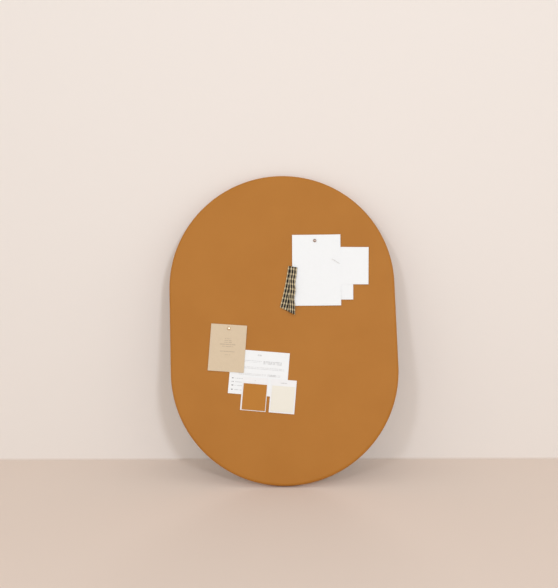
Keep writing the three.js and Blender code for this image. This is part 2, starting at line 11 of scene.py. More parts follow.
import bpy
import numpy as np
from mathutils import Matrix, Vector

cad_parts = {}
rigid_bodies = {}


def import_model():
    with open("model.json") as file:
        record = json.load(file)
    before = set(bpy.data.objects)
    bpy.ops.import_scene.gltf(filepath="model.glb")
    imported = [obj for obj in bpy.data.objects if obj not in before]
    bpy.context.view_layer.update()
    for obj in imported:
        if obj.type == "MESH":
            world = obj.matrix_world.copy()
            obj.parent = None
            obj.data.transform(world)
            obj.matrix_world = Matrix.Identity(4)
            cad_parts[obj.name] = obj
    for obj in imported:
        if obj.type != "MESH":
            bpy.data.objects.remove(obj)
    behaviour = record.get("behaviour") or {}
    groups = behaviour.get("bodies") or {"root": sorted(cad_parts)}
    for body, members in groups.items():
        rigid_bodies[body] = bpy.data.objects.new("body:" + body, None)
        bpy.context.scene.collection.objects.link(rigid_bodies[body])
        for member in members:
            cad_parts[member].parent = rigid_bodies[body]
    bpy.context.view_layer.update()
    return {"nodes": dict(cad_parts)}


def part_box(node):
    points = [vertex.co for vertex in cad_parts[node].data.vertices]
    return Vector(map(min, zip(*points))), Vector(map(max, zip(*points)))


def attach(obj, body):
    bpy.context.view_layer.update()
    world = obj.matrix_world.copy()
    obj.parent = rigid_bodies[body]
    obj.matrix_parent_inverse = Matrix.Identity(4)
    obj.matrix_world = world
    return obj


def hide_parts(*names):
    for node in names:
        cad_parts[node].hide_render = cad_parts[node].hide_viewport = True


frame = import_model()

# %% [markdown]
# ## Small tools
# A colour is written as the hex value that a painter would pick on screen, and Blender shades in linear
# light, so one function turns the one into the other. One function adds a shader node with its settings
# and links. It could be done by hand for each node, but a list of short calls reads like a recipe. The
# nodes that most materials need have a function each, which gives the node's output.

# %% Colours and shader nodes
MM = 0.001


def linear(colour):
    """Linear red, green, blue and alpha of an sRGB hex colour: a dark channel is divided by 12.92, and
    any other is shifted by 0.055, divided by 1.055 and raised to the power 2.4."""
    channels = np.array([int(colour[i:i + 2], 16) for i in (0, 2, 4)]) / 255
    curved = np.where(channels <= 0.04045, channels / 12.92, ((channels + 0.055) / 1.055) ** 2.4)
    return (*curved.tolist(), 1.0)


def node(owner, kind, inputs=None, **settings):
    """Adds one shader node. Settings are its properties, and inputs maps a socket's name or number to a
    value or to the output socket that feeds it."""
    made = owner.node_tree.nodes.new("ShaderNode" + kind)
    for name, value in settings.items():
        setattr(made, name, value)
    for socket, value in (inputs or {}).items():
        if isinstance(value, bpy.types.NodeSocket):
            owner.node_tree.links.new(value, made.inputs[socket])
        else:
            made.inputs[socket].default_value = value
    return made


def material(name, **sockets):
    """A new material and its Principled shader, whose sockets take the given values. An underscore
    in a socket's name stands for a space."""
    made = bpy.data.materials.new(name)
    made.use_nodes = True
    shader = made.node_tree.nodes["Principled BSDF"]
    for socket, value in sockets.items():
        shader.inputs[socket.replace("_", " ")].default_value = value
    return made, shader


def feed(owner, shader, **links):
    """Joins output sockets to the shader's sockets of those names."""
    for socket, output in links.items():
        owner.node_tree.links.new(output, shader.inputs[socket.replace("_", " ")])


def on_object(owner):
    """Places on the object, in metres."""
    return node(owner, "TexCoord").outputs["Object"]


def noise(owner, where, size, detail, roughness=0.5, distortion=0.0):
    """A share from 0 to 1 that wanders smoothly, with features of that size in metres."""
    return node(owner, "TexNoise", {
        "Vector": where, "Scale": 1 / size, "Detail": detail, "Roughness": roughness,
        "Distortion": distortion}).outputs["Fac"]


def blend(owner, share, first, second):
    """The first colour times one minus the share, plus the second times the share. A colour is a hex
    value or an output."""
    ends = [linear(colour) if isinstance(colour, str) else colour for colour in (first, second)]
    return node(owner, "Mix", {0: share, 6: ends[0], 7: ends[1]}, data_type="RGBA").outputs[2]


def remap(owner, value, low, high, new_low=0.0, new_high=1.0):
    """Stretches the span from low to high over the span from new_low to new_high, and clips there."""
    return node(owner, "MapRange", {
        "Value": value, "From Min": low, "From Max": high, "To Min": new_low,
        "To Max": new_high}).outputs["Result"]


def relief(owner, height, strength, depth, invert=False):
    """The normal of a surface with that height, where a height of 1 is the depth in metres."""
    return node(owner, "Bump", {"Height": height, "Strength": strength, "Distance": depth},
                invert=invert).outputs["Normal"]


def maths(owner, operation, *values):
    """One step of arithmetic on numbers or outputs."""
    return node(owner, "Math", dict(enumerate(values)), operation=operation).outputs["Value"]


# %% [markdown]
# ## From arrays to pieces
# Every surface here is a grid of points worked out with numpy. A grid that closes on a point or on a line
# has points that coincide, so they are merged and the faces that collapse are dropped. A finished piece
# sits at the origin, unturned, with its place in its mesh, and rides on the body that carries it.

# %% Grids and meshes
def grid_faces(rows, columns, wrap_rows=False, wrap_columns=False):
    """Quads of a grid whose points are numbered row by row: each runs one column on, one row on, and
    one column back. A wrapped way joins its last line to its first."""
    r = np.arange(rows if wrap_rows else rows - 1)[:, None]
    c = np.arange(columns if wrap_columns else columns - 1)[None, :]
    r_next, c_next = (r + 1) % rows, (c + 1) % columns
    corners = [r * columns + c, r * columns + c_next, r_next * columns + c_next, r_next * columns + c]
    return np.stack(corners, axis=-1).reshape(-1, 4)


def welded(points, quads):
    """Points in the same cell of a hundredth of a millimetre become one, quads are split along a
    diagonal, and triangles with two corners alike are dropped. The cells are shifted a little, so that
    round numbers lie well inside them."""
    keys = np.floor(points / (0.01 * MM) + 0.137).astype(np.int64)
    _, first, same = np.unique(keys, axis=0, return_index=True, return_inverse=True)
    triangles = same.reshape(-1)[np.concatenate([quads[:, [0, 1, 2]], quads[:, [0, 2, 3]]])]
    a, b, c = triangles.T
    return points[first], triangles[(a != b) & (b != c) & (c != a)]


def in_scene(name, data):
    """A new object that shows a mesh, a camera or a lamp."""
    made = bpy.data.objects.new(name, data)
    bpy.context.scene.collection.objects.link(made)
    return made


def make_piece(name, points, faces, body, slot, finish, replaces=(), uv=None, crease=40):
    """Puts arrays of points in metres and of faces into a mesh. Edges sharper than the crease angle in
    degrees stay crisp, and uv gives each point its place on the material in metres."""
    mesh = bpy.data.meshes.new(name)
    mesh.from_pydata(points.tolist(), [], faces.tolist())
    mesh.shade_smooth()
    mesh.set_sharp_from_angle(angle=math.radians(crease))
    if uv is not None:
        corner_points = np.zeros(len(mesh.loops), np.int32)
        mesh.loops.foreach_get("vertex_index", corner_points)
        corner_uv = uv[corner_points].astype(np.float32)
        mesh.uv_layers.new(name="UVMap").uv.foreach_set("vector", corner_uv.ravel())
    mesh.materials.append(finish)
    piece = in_scene(name, mesh)
    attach(piece, body)
    if replaces:
        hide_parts(*replaces)
    print(f"{name}: {len(mesh.vertices)} points, {len(mesh.polygons)} faces")
    return piece


def finished(piece, kind, **settings):
    """Adds a modifier of that kind with its settings."""
    modifier = piece.modifiers.new(kind.title(), kind)
    for name, value in settings.items():
        setattr(modifier, name, value)
    return modifier


def smoothstep(low, high, x):
    """Zero below low, one above high, and three t squared minus two t cubed between them."""
    t = np.clip((x - low) / (high - low), 0, 1)
    return t * t * (3 - 2 * t)


# %% [markdown]
# ## Camera
# The place and tilt were worked out from the perspective of the outline. In the board's own frame, where
# the board is upright, the camera is a little below its middle and a little to its right, and looks up at
# it. The lens is a short telephoto one.

# %% Set the camera at the photograph's angle
EYE = np.array([0.0901, -2.7991, -0.4998])
LOOK = np.array([-0.0351, 0.9913, 0.1267])
UP = np.array([0.0361, -0.1255, 0.9914])
LENS, SENSOR = 55.3, 36


def camera_axes(look, up):
    """Columns of the camera's turn: right is look crossed with up, then up again, then backwards."""
    back = -look / np.linalg.norm(look)
    right = np.cross(up, back)
    right /= np.linalg.norm(right)
    return np.stack([right, np.cross(back, right), back], axis=1)


def aim(thing, place, look, up):
    """Puts a camera or lamp at a place and turns it to look along a way, with its top towards up."""
    axes = np.eye(4)
    axes[:3, :3] = camera_axes(look, up)
    axes[:3, 3] = place
    thing.matrix_world = Matrix(axes.tolist())


camera = in_scene("camera", bpy.data.cameras.new("camera"))
camera.data.lens = LENS
camera.data.sensor_width = SENSOR
camera.data.clip_start = 0.05
aim(camera, EYE, LOOK, UP)
bpy.context.scene.camera = camera
print("camera", round(float(np.linalg.norm(EYE - [0, 0, -0.25])), 3), "m from the board")

# %% [markdown]
# ## Outline and profiles
# The board is a slot shape: two half circles joined by straight sides. Every layer is one profile carried
# round that outline, as a router or a roll of edging follows it. A profile is a row of radius and depth
# pairs, with the depth measured from the wall. The stations are finer than the eye needs, because the hem
# behind has small pleats.

# %% Sizes of the board
low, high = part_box("front_cover")
HALF_WIDTH = (high.x - low.x) / 2 / MM
HALF_SPINE = (high.z - low.z) / 2 / MM - HALF_WIDTH
BOARD_Z = (high.z + low.z) / 2
FRONT, HEM = -low.y / MM, -high.y / MM
CLOTH = 1.0
FRONT_EDGE, BACK_EDGE = 10.2, 2.6
HEM_INNER = HALF_WIDTH - 38
LINING_EDGE = HALF_WIDTH - 24
print("half width", HALF_WIDTH, "half spine", HALF_SPINE, "front", round(FRONT, 2), "hem", round(HEM, 2))


# %% Stations round the outline
def stations(arc_steps, side_steps):
    """Over the top from the right, down the left side, round the foot and up the right side. Gives each
    station's point on the spine, the way it looks out, and its distance along the outline, in mm."""
    turn = np.linspace(0, math.pi, arc_steps, endpoint=False)
    run = np.linspace(HALF_SPINE, -HALF_SPINE, side_steps, endpoint=False)
    angle = np.concatenate([turn, np.full(side_steps, math.pi), turn + math.pi, np.zeros(side_steps)])
    height = np.concatenate([np.full(arc_steps, HALF_SPINE), run, np.full(arc_steps, -HALF_SPINE), -run])
    way = np.stack([np.cos(angle), np.sin(angle)], axis=1)
    rim = np.stack([way[:, 0] * HALF_WIDTH, height + way[:, 1] * HALF_WIDTH], axis=1)
    step = np.linalg.norm(rim - np.roll(rim, 1, axis=0), axis=1)
    return height, way, np.cumsum(step)


def carried(profile, height, way):
    """A point is its station's spine point plus the radius times the way it looks, at the depth in
    front of the wall. The profile is one for all stations, or one for each."""
    profile = np.broadcast_to(profile, (len(way), *profile.shape[-2:]))
    x = profile[..., 0] * way[:, None, 0]
    z = profile[..., 0] * way[:, None, 1] + height[:, None]
    points = np.stack([x * MM, -profile[..., 1] * MM, z * MM + BOARD_Z], axis=-1)
    return points.reshape(-1, 3), grid_faces(len(way), profile.shape[1], wrap_rows=True)


def arc(centre_radius, centre_depth, radius, start, end, steps):
    """Radius and depth pairs on a circle: angle 0 looks outwards and a quarter turn looks to the front."""
    angle = np.linspace(math.radians(start), math.radians(end), steps + 1)
    return np.stack([centre_radius + radius * np.cos(angle), centre_depth + radius * np.sin(angle)], axis=1)


def straight(start, end, steps):
    """Evenly spaced pairs from start to end, without the end."""
    return np.linspace(start, end, steps, endpoint=False)


# %% [markdown]
# ## Leather-look cloth
# The cover is polyurethane film knife-coated on a woven back and embossed with a fine, even grain. To the
# eye it is matt, with soft wide highlights and a slow drift in colour from the coating. The grain could be
# real relief, but at less than a millimetre it belongs in the bump. Cells of a Voronoi pattern give the
# pebbles, and a slow noise gives the drift. The pebbles are drawn a little coarser than real ones.

# %% Polyurethane-coated cloth, embossed
PEBBLE = 1.1 * MM
DRIFT = 160 * MM


def coated_cloth(name, colour, darker, roughness):
    """Embossed polyurethane cloth of one colour that drifts a little towards a darker one."""
    made, shader = material(name, Roughness=roughness, IOR=1.46, Specular_IOR_Level=0.3)
    where = on_object(made)
    drift = remap(made, noise(made, where, DRIFT, 3, 0.55), 0.32, 0.7)
    pebble = node(made, "TexVoronoi", {"Vector": where, "Scale": 1 / PEBBLE, "Randomness": 0.9},
                  feature="SMOOTH_F1").outputs["Distance"]
    feed(made, shader, Base_Color=blend(made, drift, colour, darker),
         Roughness=remap(made, pebble, 0, 1, roughness - 0.05, roughness + 0.1),
         Normal=relief(made, pebble, 0.22, 0.25 * MM, invert=True))
    return made


TAN = coated_cloth("tan polyurethane cloth, embossed", "b4752a", "b07126", 0.58)
CREAM = coated_cloth("cream polyurethane cloth, embossed", "f0eadb", "ebe4d3", 0.6)
print("two coated cloths, grain", PEBBLE / MM, "mm")

# %% [markdown]
# ## The cover
# One piece of cloth lies over the front, rolls over the soft edge, and is turned under as a hem. Round the
# half circles the hem has more cloth than room, so it is laid in small pleats, each stapled down before the
# next. A cloth simulation could find these pleats, but they are a craftsman's regular folds and not chance,
# so they are worked out: a saw-tooth wave of the distance along the outline, raised only where the hem is
# curved and free. Solidify gives the cloth its thickness inwards.

# %% Stretch the cover over the board
PLEAT_PITCH, PLEAT_RISE = 24.0, 0.9
SLACK, SLACK_PITCH = 0.18, 32
DIP, DIP_ACROSS, DIP_UP = 0.12 * MM, 0.034, 0.027
height, way, along = stations(300, 64)
flat_radius = HALF_WIDTH - FRONT_EDGE
back_radius = HALF_WIDTH - BACK_EDGE
cover_profile = np.concatenate([
    straight([0, FRONT], [flat_radius, FRONT], 13),
    arc(flat_radius, FRONT - FRONT_EDGE, FRONT_EDGE, 90, 0, 12),
    straight([HALF_WIDTH, FRONT - FRONT_EDGE], [HALF_WIDTH, HEM + BACK_EDGE], 4)[1:],
    arc(back_radius, HEM + BACK_EDGE, BACK_EDGE, 0, -90, 5),
    np.linspace([back_radius, HEM], [HEM_INNER, HEM], 16)[1:],
])


def hem_pleats(profile):
    """Depth lost to the pleats: a saw-tooth along the outline, times a ramp that rises from the edge
    and falls before the lining, times one on the curved ends and zero on the straight sides."""
    tooth = (1 - (along / PLEAT_PITCH) % 1) ** 1.4 * smoothstep(0, 0.12, (along / PLEAT_PITCH) % 1)
    curved = smoothstep(0.02, 0.2, np.abs(way[:, 1]))
    radius = profile[:, 0]
    ramp = smoothstep(0, 9, back_radius - radius) * smoothstep(1, 5, radius - LINING_EDGE)
    on_hem = profile[:, 1] < HEM + BACK_EDGE / 2
    return PLEAT_RISE * (tooth * curved)[:, None] * (ramp * on_hem)[None, :]


shaped = np.repeat(cover_profile[None], len(way), axis=0)
shaped[..., 1] -= hem_pleats(cover_profile)
slack = SLACK * (1 - np.cos(2 * math.pi * along / SLACK_PITCH)) / 2
side = smoothstep(FRONT - 8, FRONT - 16, cover_profile[:, 1]) * (cover_profile[:, 0] > back_radius)
shaped[..., 0] -= slack[:, None] * side[None, :]
points, quads = carried(shaped, height, way)
in_front = points[:, 1] < -20 * MM
dip = DIP * (1 + np.sin(points[:, 0] / DIP_ACROSS + 1.3) * np.cos(points[:, 2] / DIP_UP))
radius = shaped[..., 0].reshape(-1) * in_front
points[:, 1] += dip * smoothstep(flat_radius, flat_radius - 40, radius) * in_front
cover = make_piece("tan_cover", *welded(points, quads), "board", "tan_leather", TAN, ["front_cover"])
finished(cover, "SOLIDIFY", thickness=CLOTH * MM, offset=-1)

# %% [markdown]
# ## Layers under the cover
# Under the cloth lies a sheet of polyester wadding, then softboard that grips the pins, then a plywood
# back. They can't be seen, but a part taken to pieces shows them. The wadding is a soft piece of its own,
# slightly slack at the edge, made from a profile like the cover's. The two boards keep their solids and
# only get their materials.

# %% Fibres, boards and their materials
FIBRE = 3.0 * MM


def matted_fibre(name, colour, darker, roughness, depth):
    """A felted or pressed mat: short fibres in all directions, seen as stretched noise in two ways."""
    made, shader = material(name, Roughness=roughness, IOR=1.5)
    fibre = noise(made, on_object(made), FIBRE, 6, 0.7, 1.5)
    feed(made, shader, Base_Color=blend(made, fibre, darker, colour), Normal=relief(made, fibre, 0.5, depth))
    return made


WADDING = matted_fibre("polyester wadding, carded and bonded", "f1efe9", "dedbd2", 0.95, 0.8 * MM)
SOFTBOARD = matted_fibre("softboard, pressed wood fibre", "b58d5c", "8f6c43", 0.92, 0.3 * MM)
FELT = matted_fibre("charcoal felt, needled", "55514d", "35322f", 0.97, 0.35 * MM)


def plywood(name, pale, dark):
    """Birch plywood, rotary cut and sanded: long flames of grain every few centimetres."""
    made, shader = material(name, Roughness=0.62, IOR=1.5)
    drawn = node(made, "Mapping", {"Vector": on_object(made), "Scale": (1, 1, 0.12)}).outputs["Vector"]
    grain = noise(made, drawn, 14 * MM, 8, 0.62, 0.8)
    feed(made, shader, Base_Color=blend(made, grain, dark, pale), Normal=relief(made, grain, 0.2, 0.1 * MM))
    return made


PLYWOOD = plywood("birch plywood, rotary cut and sanded", "e2c79e", "c09c6c")


def refinish(name, finish):
    """Gives a solid of the frame its material and leaves its mesh alone."""
    solid = frame["nodes"][name]
    solid.data.materials.clear()
    solid.data.materials.append(finish)


refinish("softboard_core", SOFTBOARD)
refinish("backing_board", PLYWOOD)

# %% Lay the wadding
WADDING_SLACK = 1.5
WADDING_FOOT, WADDING_BACK = 14.4, 24.5  # depths where it ends beside the core and where it lies on it
LOFT, LOFT_ACROSS, LOFT_UP = 0.35 * MM, 0.011, 0.013
wadding_front, wadding_radius, core_radius = FRONT - WADDING_SLACK, FRONT_EDGE - WADDING_SLACK, 5.2
coarse_height, coarse_way, _ = stations(90, 24)
wadding_profile = np.concatenate([
    straight([0, wadding_front], [flat_radius, wadding_front], 9),
    arc(flat_radius, FRONT - FRONT_EDGE, wadding_radius, 90, 0, 8),
    [[flat_radius + wadding_radius, WADDING_FOOT], [flat_radius + core_radius, WADDING_FOOT]],
    arc(flat_radius, FRONT - FRONT_EDGE, core_radius, 0, 90, 8),
    straight([flat_radius, WADDING_BACK], [0, WADDING_BACK], 9)[1:], [[0, WADDING_BACK]],
])
points, quads = carried(wadding_profile, coarse_height, coarse_way)
loft = LOFT * np.sin(points[:, 0] / LOFT_ACROSS) * np.sin(points[:, 2] / LOFT_UP)
points[:, 1] += np.where(points[:, 1] < -(WADDING_BACK + 1) * MM, np.abs(loft), 0)
wadding = make_piece("loft_wadding", *welded(points, quads), "board", "wadding", WADDING, ["foam_wadding"])

# %% [markdown]
# ## Felt lining and its staples
# The cut edge of the hem is hidden by a lining of needled felt, glued down and stapled round its edge. It
# steps back where it passes over the hem. Two windows leave the keyhole plates bare. The windows could be cut
# in the profile, but a profile knows nothing of hangers, so two rounded blocks cut them with a Boolean, and
# the result is kept as plain mesh.

# %% Felt lining
HANGERS = {"left": -190, "right": 190}
WINDOW_WIDTH, WINDOW_TOP, WINDOW_FOOT, WINDOW_CORNER = 22, 17.5, -31, 3
CUT_WAVE, CUT_PITCH, CUT_DRIFT = 0.12, 9.0, 61.0  # how the lining's cut edge wanders
felt_profile = np.concatenate([
    straight([0, 5.1], [305.0, 5.1], 16), [[305.3, 5.05], [308.3, 4.7], [311.2, 4.05], [312.5, 4.0]],
    [[LINING_EDGE, 4.0], [LINING_EDGE - 0.1, 3.3], [LINING_EDGE - 0.6, 3.05]],
    straight([LINING_EDGE - 1.5, 3.0], [311.5, 3.0], 6),
    arc(311.5, 3.6, 0.6, -90, -110, 2)[1:],
    [[307.6, 3.75], [305.9, 4.05]],
    np.linspace([304.5, 4.1], [0, 4.1], 17),
])
felt_height, felt_way, felt_along = stations(150, 48)
wave = CUT_WAVE * np.sin(felt_along / CUT_PITCH) * np.abs(np.sin(felt_along / CUT_DRIFT))
shaped = np.repeat(felt_profile[None], len(felt_way), axis=0)
shaped[..., 0] += wave[:, None] * (felt_profile[:, 0] > LINING_EDGE - 2)
points, quads = carried(shaped, felt_height, felt_way)
lining = make_piece("felt_lining", *welded(points, quads), "board", "felt", FELT, ["back_lining"], crease=60)


def rounded_outline(width, top, bottom, radius, steps=8):
    """Corner arcs of a rounded rectangle, anticlockwise from the upper right, as x and z pairs in mm."""
    quarter = np.linspace(0, math.pi / 2, steps)
    corner = np.stack([np.cos(quarter), np.sin(quarter)], axis=1) * radius
    side = width / 2 - radius
    turns = [np.array([[np.cos(a), -np.sin(a)], [np.sin(a), np.cos(a)]]) for a in np.arange(4) * math.pi / 2]
    centres = [(side, top - radius), (-side, top - radius), (-side, bottom + radius), (side, bottom + radius)]
    return np.concatenate([corner @ t.T + c for t, c in zip(turns, centres)])


def cut_through(piece, outline, centre_x, centre_z):
    """Cuts a hole of that outline right through a piece, and keeps the result as its mesh."""
    count = len(outline)
    across, up = outline.T
    ring = np.stack([(across + centre_x) * MM, np.zeros(count), (up + centre_z) * MM], axis=1)
    both = np.concatenate([ring + [0, -0.02, 0], ring + [0, 0.02, 0]])
    i = np.arange(count)
    walls = np.stack([i, i + count, (i + 1) % count + count, (i + 1) % count], axis=1).tolist()
    mesh = bpy.data.meshes.new("cutter")
    mesh.from_pydata(both.tolist(), [], walls + [i.tolist(), (i + count)[::-1].tolist()])
    cutter = in_scene("cutter", mesh)
    cut = finished(piece, "BOOLEAN", object=cutter, operation="DIFFERENCE", solver="EXACT")
    shown = piece.evaluated_get(bpy.context.evaluated_depsgraph_get())
    piece.data = bpy.data.meshes.new_from_object(shown)
    piece.modifiers.remove(cut)
    bpy.data.objects.remove(cutter)


window = rounded_outline(WINDOW_WIDTH, WINDOW_TOP, WINDOW_FOOT, WINDOW_CORNER)
for hanger_x in HANGERS.values():
    cut_through(lining, window, hanger_x, 0)

# %% [markdown]
# ## Metals
# Pins, screws and staples are drawn steel wire, bright and fairly smooth. The hanger plates are stamped from
# zinc-plated sheet, which is greyer and mottled. The two tacks have the same pressed brass heads in two
# colours:
# a dark warm grey on the white sheet as painted shade, and a pale warm tone on the kraft card as a painted
# reflection of the card. Each has fine marks in its roughness, so that a highlight breaks up as it does on
# real small metal.

# %% Steel, zinc and brass
def small_metal(name, colour, darker, roughness, grain):
    """A metal of one colour whose shade and roughness vary with a fine noise of that grain."""
    made, shader = material(name, Metallic=1.0)
    marks = noise(made, on_object(made), grain, 4, 0.6)
    feed(made, shader, Base_Color=blend(made, marks, darker, colour),
         Roughness=remap(made, marks, 0, 1, roughness - 0.06, roughness + 0.08))
    return made


STEEL = small_metal("nickel-plated steel wire, drawn", "c9c6c0", "b4b1ab", 0.28, 1.5 * MM)
ZINC = small_metal("zinc-plated steel sheet, stamped", "b9bcbd", "9fa3a6", 0.42, 6 * MM)
# The two tack colours below are one metal given painted shade and a painted reflection.
TACK_METAL_WITH_PAINTED_SHADE = small_metal("brass tack head, pressed, grey as painted shade", "bda699", "a18c80", 0.36, 1.2 * MM)
TACK_METAL_WITH_PAINTED_REFLECTION = small_metal("brass tack head, pressed and polished", "efd9bb", "e2c8a8", 0.28, 1.2 * MM)

# %% Staples round the lining
STAPLE_REACH, STAPLE_PITCH = 319.5, 45.0
CROWN, WIRE = 10.0, 0.5
FELT_FACE = 3.0  # depth of the lining's face over the hem


def staples(reach, pitch):
    """Each staple is a bent wire: its path runs up out of the board, along the crown and down again, and
    a six-sided ring, nearly twice as wide as thick, is carried along it. Its copies stand at even steps
    round the outline."""
    leg = np.array([[0, -1.2], [0, -0.2], [0.15, 0.1], [0.6, 0.3]]) - [CROWN / 2, 0]
    line = np.concatenate([leg, leg[::-1] * [-1, 1]])
    ahead = np.gradient(line, axis=0)
    ahead /= np.linalg.norm(ahead, axis=1, keepdims=True)
    across = np.stack([-ahead[:, 1], ahead[:, 0]], axis=1)
    ring = np.linspace(0, 2 * math.pi, 6, endpoint=False)
    run = line[:, None, 0] + across[:, None, 0] * np.cos(ring) * WIRE / 2
    rise = line[:, None, 1] + across[:, None, 1] * np.cos(ring) * WIRE / 2
    aside = np.broadcast_to(np.sin(ring) * WIRE, run.shape)
    ends = [np.stack([g[k].mean() * np.ones(6) for g in (run, rise, aside)], axis=1) for k in (0, -1)]
    grid = np.concatenate([ends[0][None], np.stack([run, rise, aside], axis=-1), ends[1][None]])
    arc_length = math.pi * reach
    half_way = arc_length + 2 * HALF_SPINE
    count = round(2 * half_way / pitch)
    at = (np.arange(count) + 0.5) * 2 * half_way / count
    half = at % half_way
    on_arc, second_half = half < arc_length, at >= half_way
    turn = np.where(on_arc, half / reach, math.pi) + np.where(second_half, math.pi, 0)
    spine = np.where(on_arc, HALF_SPINE, HALF_SPINE - (half - arc_length)) * np.where(second_half, -1, 1)
    out = np.stack([np.cos(turn), np.sin(turn)], axis=1)
    tangent = np.stack([-out[:, 1], out[:, 0]], axis=1)
    flat = grid.reshape(-1, 3)
    plane = (reach * out + np.stack([np.zeros(len(at)), spine], axis=1))[:, None]
    plane = plane + flat[None, :, 0:1] * tangent[:, None] + flat[None, :, 2:3] * out[:, None]
    depth = np.broadcast_to(FELT_FACE - flat[None, :, 1], plane.shape[:2])
    points = np.stack([plane[..., 0] * MM, -depth * MM, plane[..., 1] * MM + BOARD_Z], axis=-1)
    faces = grid_faces(len(grid), 6, wrap_columns=True)
    faces = (faces[None] + (np.arange(len(at)) * len(flat))[:, None, None]).reshape(-1, 4)
    return points.reshape(-1, 3), faces, len(at)


points, quads, staple_count = staples(STAPLE_REACH, STAPLE_PITCH)
make_piece("lining_staples", *welded(points, quads), "board", "steel", STEEL)
print(staple_count, "staples")

# %% [markdown]
# ## Turned pieces
# Pins, tacks, screws and pads are all round about an axis, so one function turns a profile. The profile is a
# row of radius and height pairs, where the height runs along the axis from the piece's seat towards its
# point. It may differ at each angle, and that is how the screws get their cross.

# %% Turn a profile about an axis
def turned(profile, seat, way, sides):
    """A point is the seat, plus its height times the way, plus its radius times a direction that goes
    once round the way. The profile runs from the head's end to the point."""
    way = np.asarray(way, float) / np.linalg.norm(way)
    first = np.cross([0, 0, 1] if abs(way[2]) < 0.9 else [1, 0, 0], way)
    first /= np.linalg.norm(first)
    second = np.cross(first, way)
    turn = np.linspace(0, 2 * math.pi, sides, endpoint=False)
    profile = np.broadcast_to(profile, (sides, *np.asarray(profile).shape[-2:]))
    spoke = np.cos(turn)[:, None] * first + np.sin(turn)[:, None] * second
    points = profile[..., 0:1] * spoke[:, None] + profile[..., 1:2] * way
    points = np.asarray(seat) + points * MM
    return points.reshape(-1, 3), grid_faces(sides, profile.shape[1], wrap_rows=True)


TOWARDS_WALL, TOWARDS_FRONT = (0, 1, 0), (0, -1, 0)


def middle(name):
    """Middle of a solid's box across and up, in metres."""
    low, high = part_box(name)
    return (low.x + high.x) / 2, (low.z + high.z) / 2


def front_and_back(name):
    """Lowest and highest y of a solid's box, in metres."""
    low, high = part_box(name)
    return low.y, high.y


def turned_piece(name, profile, seat_y, way, sides, body, slot, finish, solid):
    """Turns a profile about the middle of a solid and makes it the piece that stands in for the solid."""
    x, z = middle(solid)
    mesh_parts = welded(*turned(profile, (x, seat_y, z), way, sides))
    return make_piece(name, *mesh_parts, body, slot, finish, [solid])


# %% Wall pads
RUBBER = matted_fibre("grey rubber pad, moulded", "4b4a49", "403f3e", 0.85, 0.02 * MM)
pad_profile = np.concatenate([
    [[0, 0], [12, 0]], arc(11, 3, 1, 0, 90, 5), [[9.5, 4.0], [9.0, 3.8], [0, 3.8]]])
for corner in ("top_left", "top_right", "bottom_left", "bottom_right"):
    solid = "wall_pad_" + corner
    turned_piece("rubber_pad_" + corner, pad_profile, front_and_back(solid)[0], TOWARDS_WALL, 64,
                 "board", "pad_rubber", RUBBER, solid)

# %% [markdown]
# ## Keyhole plates and their screws
# A stamped plate has a slight round on each edge. Its solid already has the right shape, so a merged copy of
# it gets a narrow Bevel. A pan-head screw has a cross recess. The recess is worked into the head's profile:
# the height drops inside two crossed bars, deepest in the middle.

# %% Plates
def eased_copy(solid_name, name, slot, finish, width):
    """A copy of a solid with its loose triangles joined and its sharp edges bevelled."""
    source = frame["nodes"][solid_name].data
    places = np.zeros(3 * len(source.vertices))
    source.vertices.foreach_get("co", places)
    loose = np.zeros(len(source.loops), np.int32)
    source.loops.foreach_get("vertex_index", loose)
    triangles = loose.reshape(-1, 3)
    points, faces = welded(places.reshape(-1, 3), np.concatenate([triangles, triangles[:, 2:]], axis=1))
    copy = make_piece(name, points, faces, "board", slot, finish, [solid_name], crease=30)
    finished(copy, "BEVEL", width=width, segments=2, limit_method="ANGLE", angle_limit=math.radians(40),
             use_clamp_overlap=False)


for side in HANGERS:
    eased_copy(side + "_hanger_plate", side + "_keyhole_plate", "steel", ZINC, 0.18 * MM)

# %% Screws
SCREW_SIDES, SCREW_SEAT = 96, 2.1
spokes = np.linspace(0, 2 * math.pi, SCREW_SIDES, endpoint=False)
head_radius = np.linspace(0, 2.6, 22)
crown = np.stack([head_radius, 0.04 * head_radius ** 2 - SCREW_SEAT], axis=1)
screw_profile = np.concatenate([
    crown, [[3.1, -1.75], [3.4, -1.4], [3.5, -1.0], [3.5, -0.1], [1.8, -0.1], [1.75, 0.4], [1.75, 5.8],
            [0, 7.8]]])


def cross_recess(radius, angle):
    """Depth of the cross: one inside either of two bars, eased at their sides, times a slope that
    falls from the middle to the ends of the bars."""
    x, z = radius * np.cos(angle), radius * np.sin(angle)
    bars = [smoothstep(0.55, 0.35, np.abs(a)) * smoothstep(2.0, 1.7, np.abs(b)) for a, b in ((x, z), (z, x))]
    return np.maximum(*bars) * (1.2 - 0.35 * radius)


turned_profile = np.repeat(screw_profile[None], SCREW_SIDES, axis=0)
turned_profile[:, :len(head_radius), 1] += np.maximum(cross_recess(head_radius[None], spokes[:, None]), 0)
for side in HANGERS:
    for level in ("upper", "lower"):
        solid = f"{side}_hanger_screw_{level}"
        seat_y = front_and_back(solid)[1] - SCREW_SEAT * MM
        turned_piece(f"{side}_plate_screw_{level}", turned_profile, seat_y, TOWARDS_FRONT, SCREW_SIDES,
                     "board", "steel", STEEL, solid)

# %% [markdown]
# ## Papers
# A sheet of paper that has been pinned for a while lies nearly flat, and its free corners lift a little
# along a slanting line. Each paper here is a thin closed leaf: its front is a grid in its own width and
# height, its back is the same grid one thickness behind, and walls join them. A cloth simulation would sag
# stiff paper too much.

